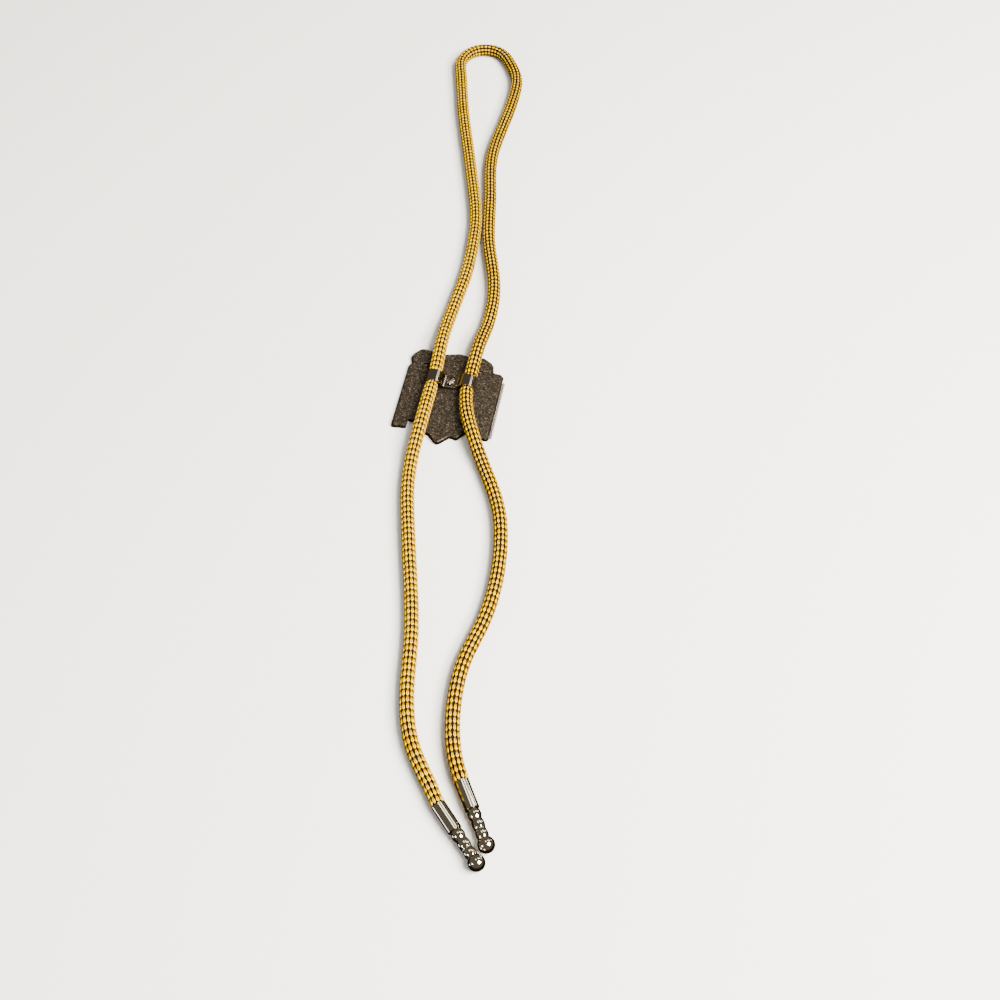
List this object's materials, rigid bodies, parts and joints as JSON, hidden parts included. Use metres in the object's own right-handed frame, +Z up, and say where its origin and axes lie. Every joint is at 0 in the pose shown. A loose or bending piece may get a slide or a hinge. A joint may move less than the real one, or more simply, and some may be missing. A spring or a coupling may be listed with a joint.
{
  "type": "bolo tie",
  "caption": "Bolo tie lying face down: cast metal slide, spring clip, yellow-gold knitted cord with a neck loop, two beaded metal tips.",
  "frame": {"origin": "middle of the slide ornament's face, on the surface it rests on", "axes": "+Z up, out of the ornament's back; +Y from the tips towards the neck loop; +X to the right as seen from above"},
  "size_m": [0.0557, 0.4316, 0.008],
  "materials": {
    "cast_metal": "as cast, granular, dark taupe zinc alloy",
    "bright_metal": "polished nickel-plated spring steel",
    "tip_metal": "polished dark nickel plate",
    "cord_knit": "satin rayon knit, yellow gold"
  },
  "bodies": {
    "root": {"slide_plate": "cast_metal", "cord_clip": "bright_metal", "cord": "cord_knit", "tip_left": "tip_metal", "tip_right": "tip_metal"}
  },
  "joints": []
}
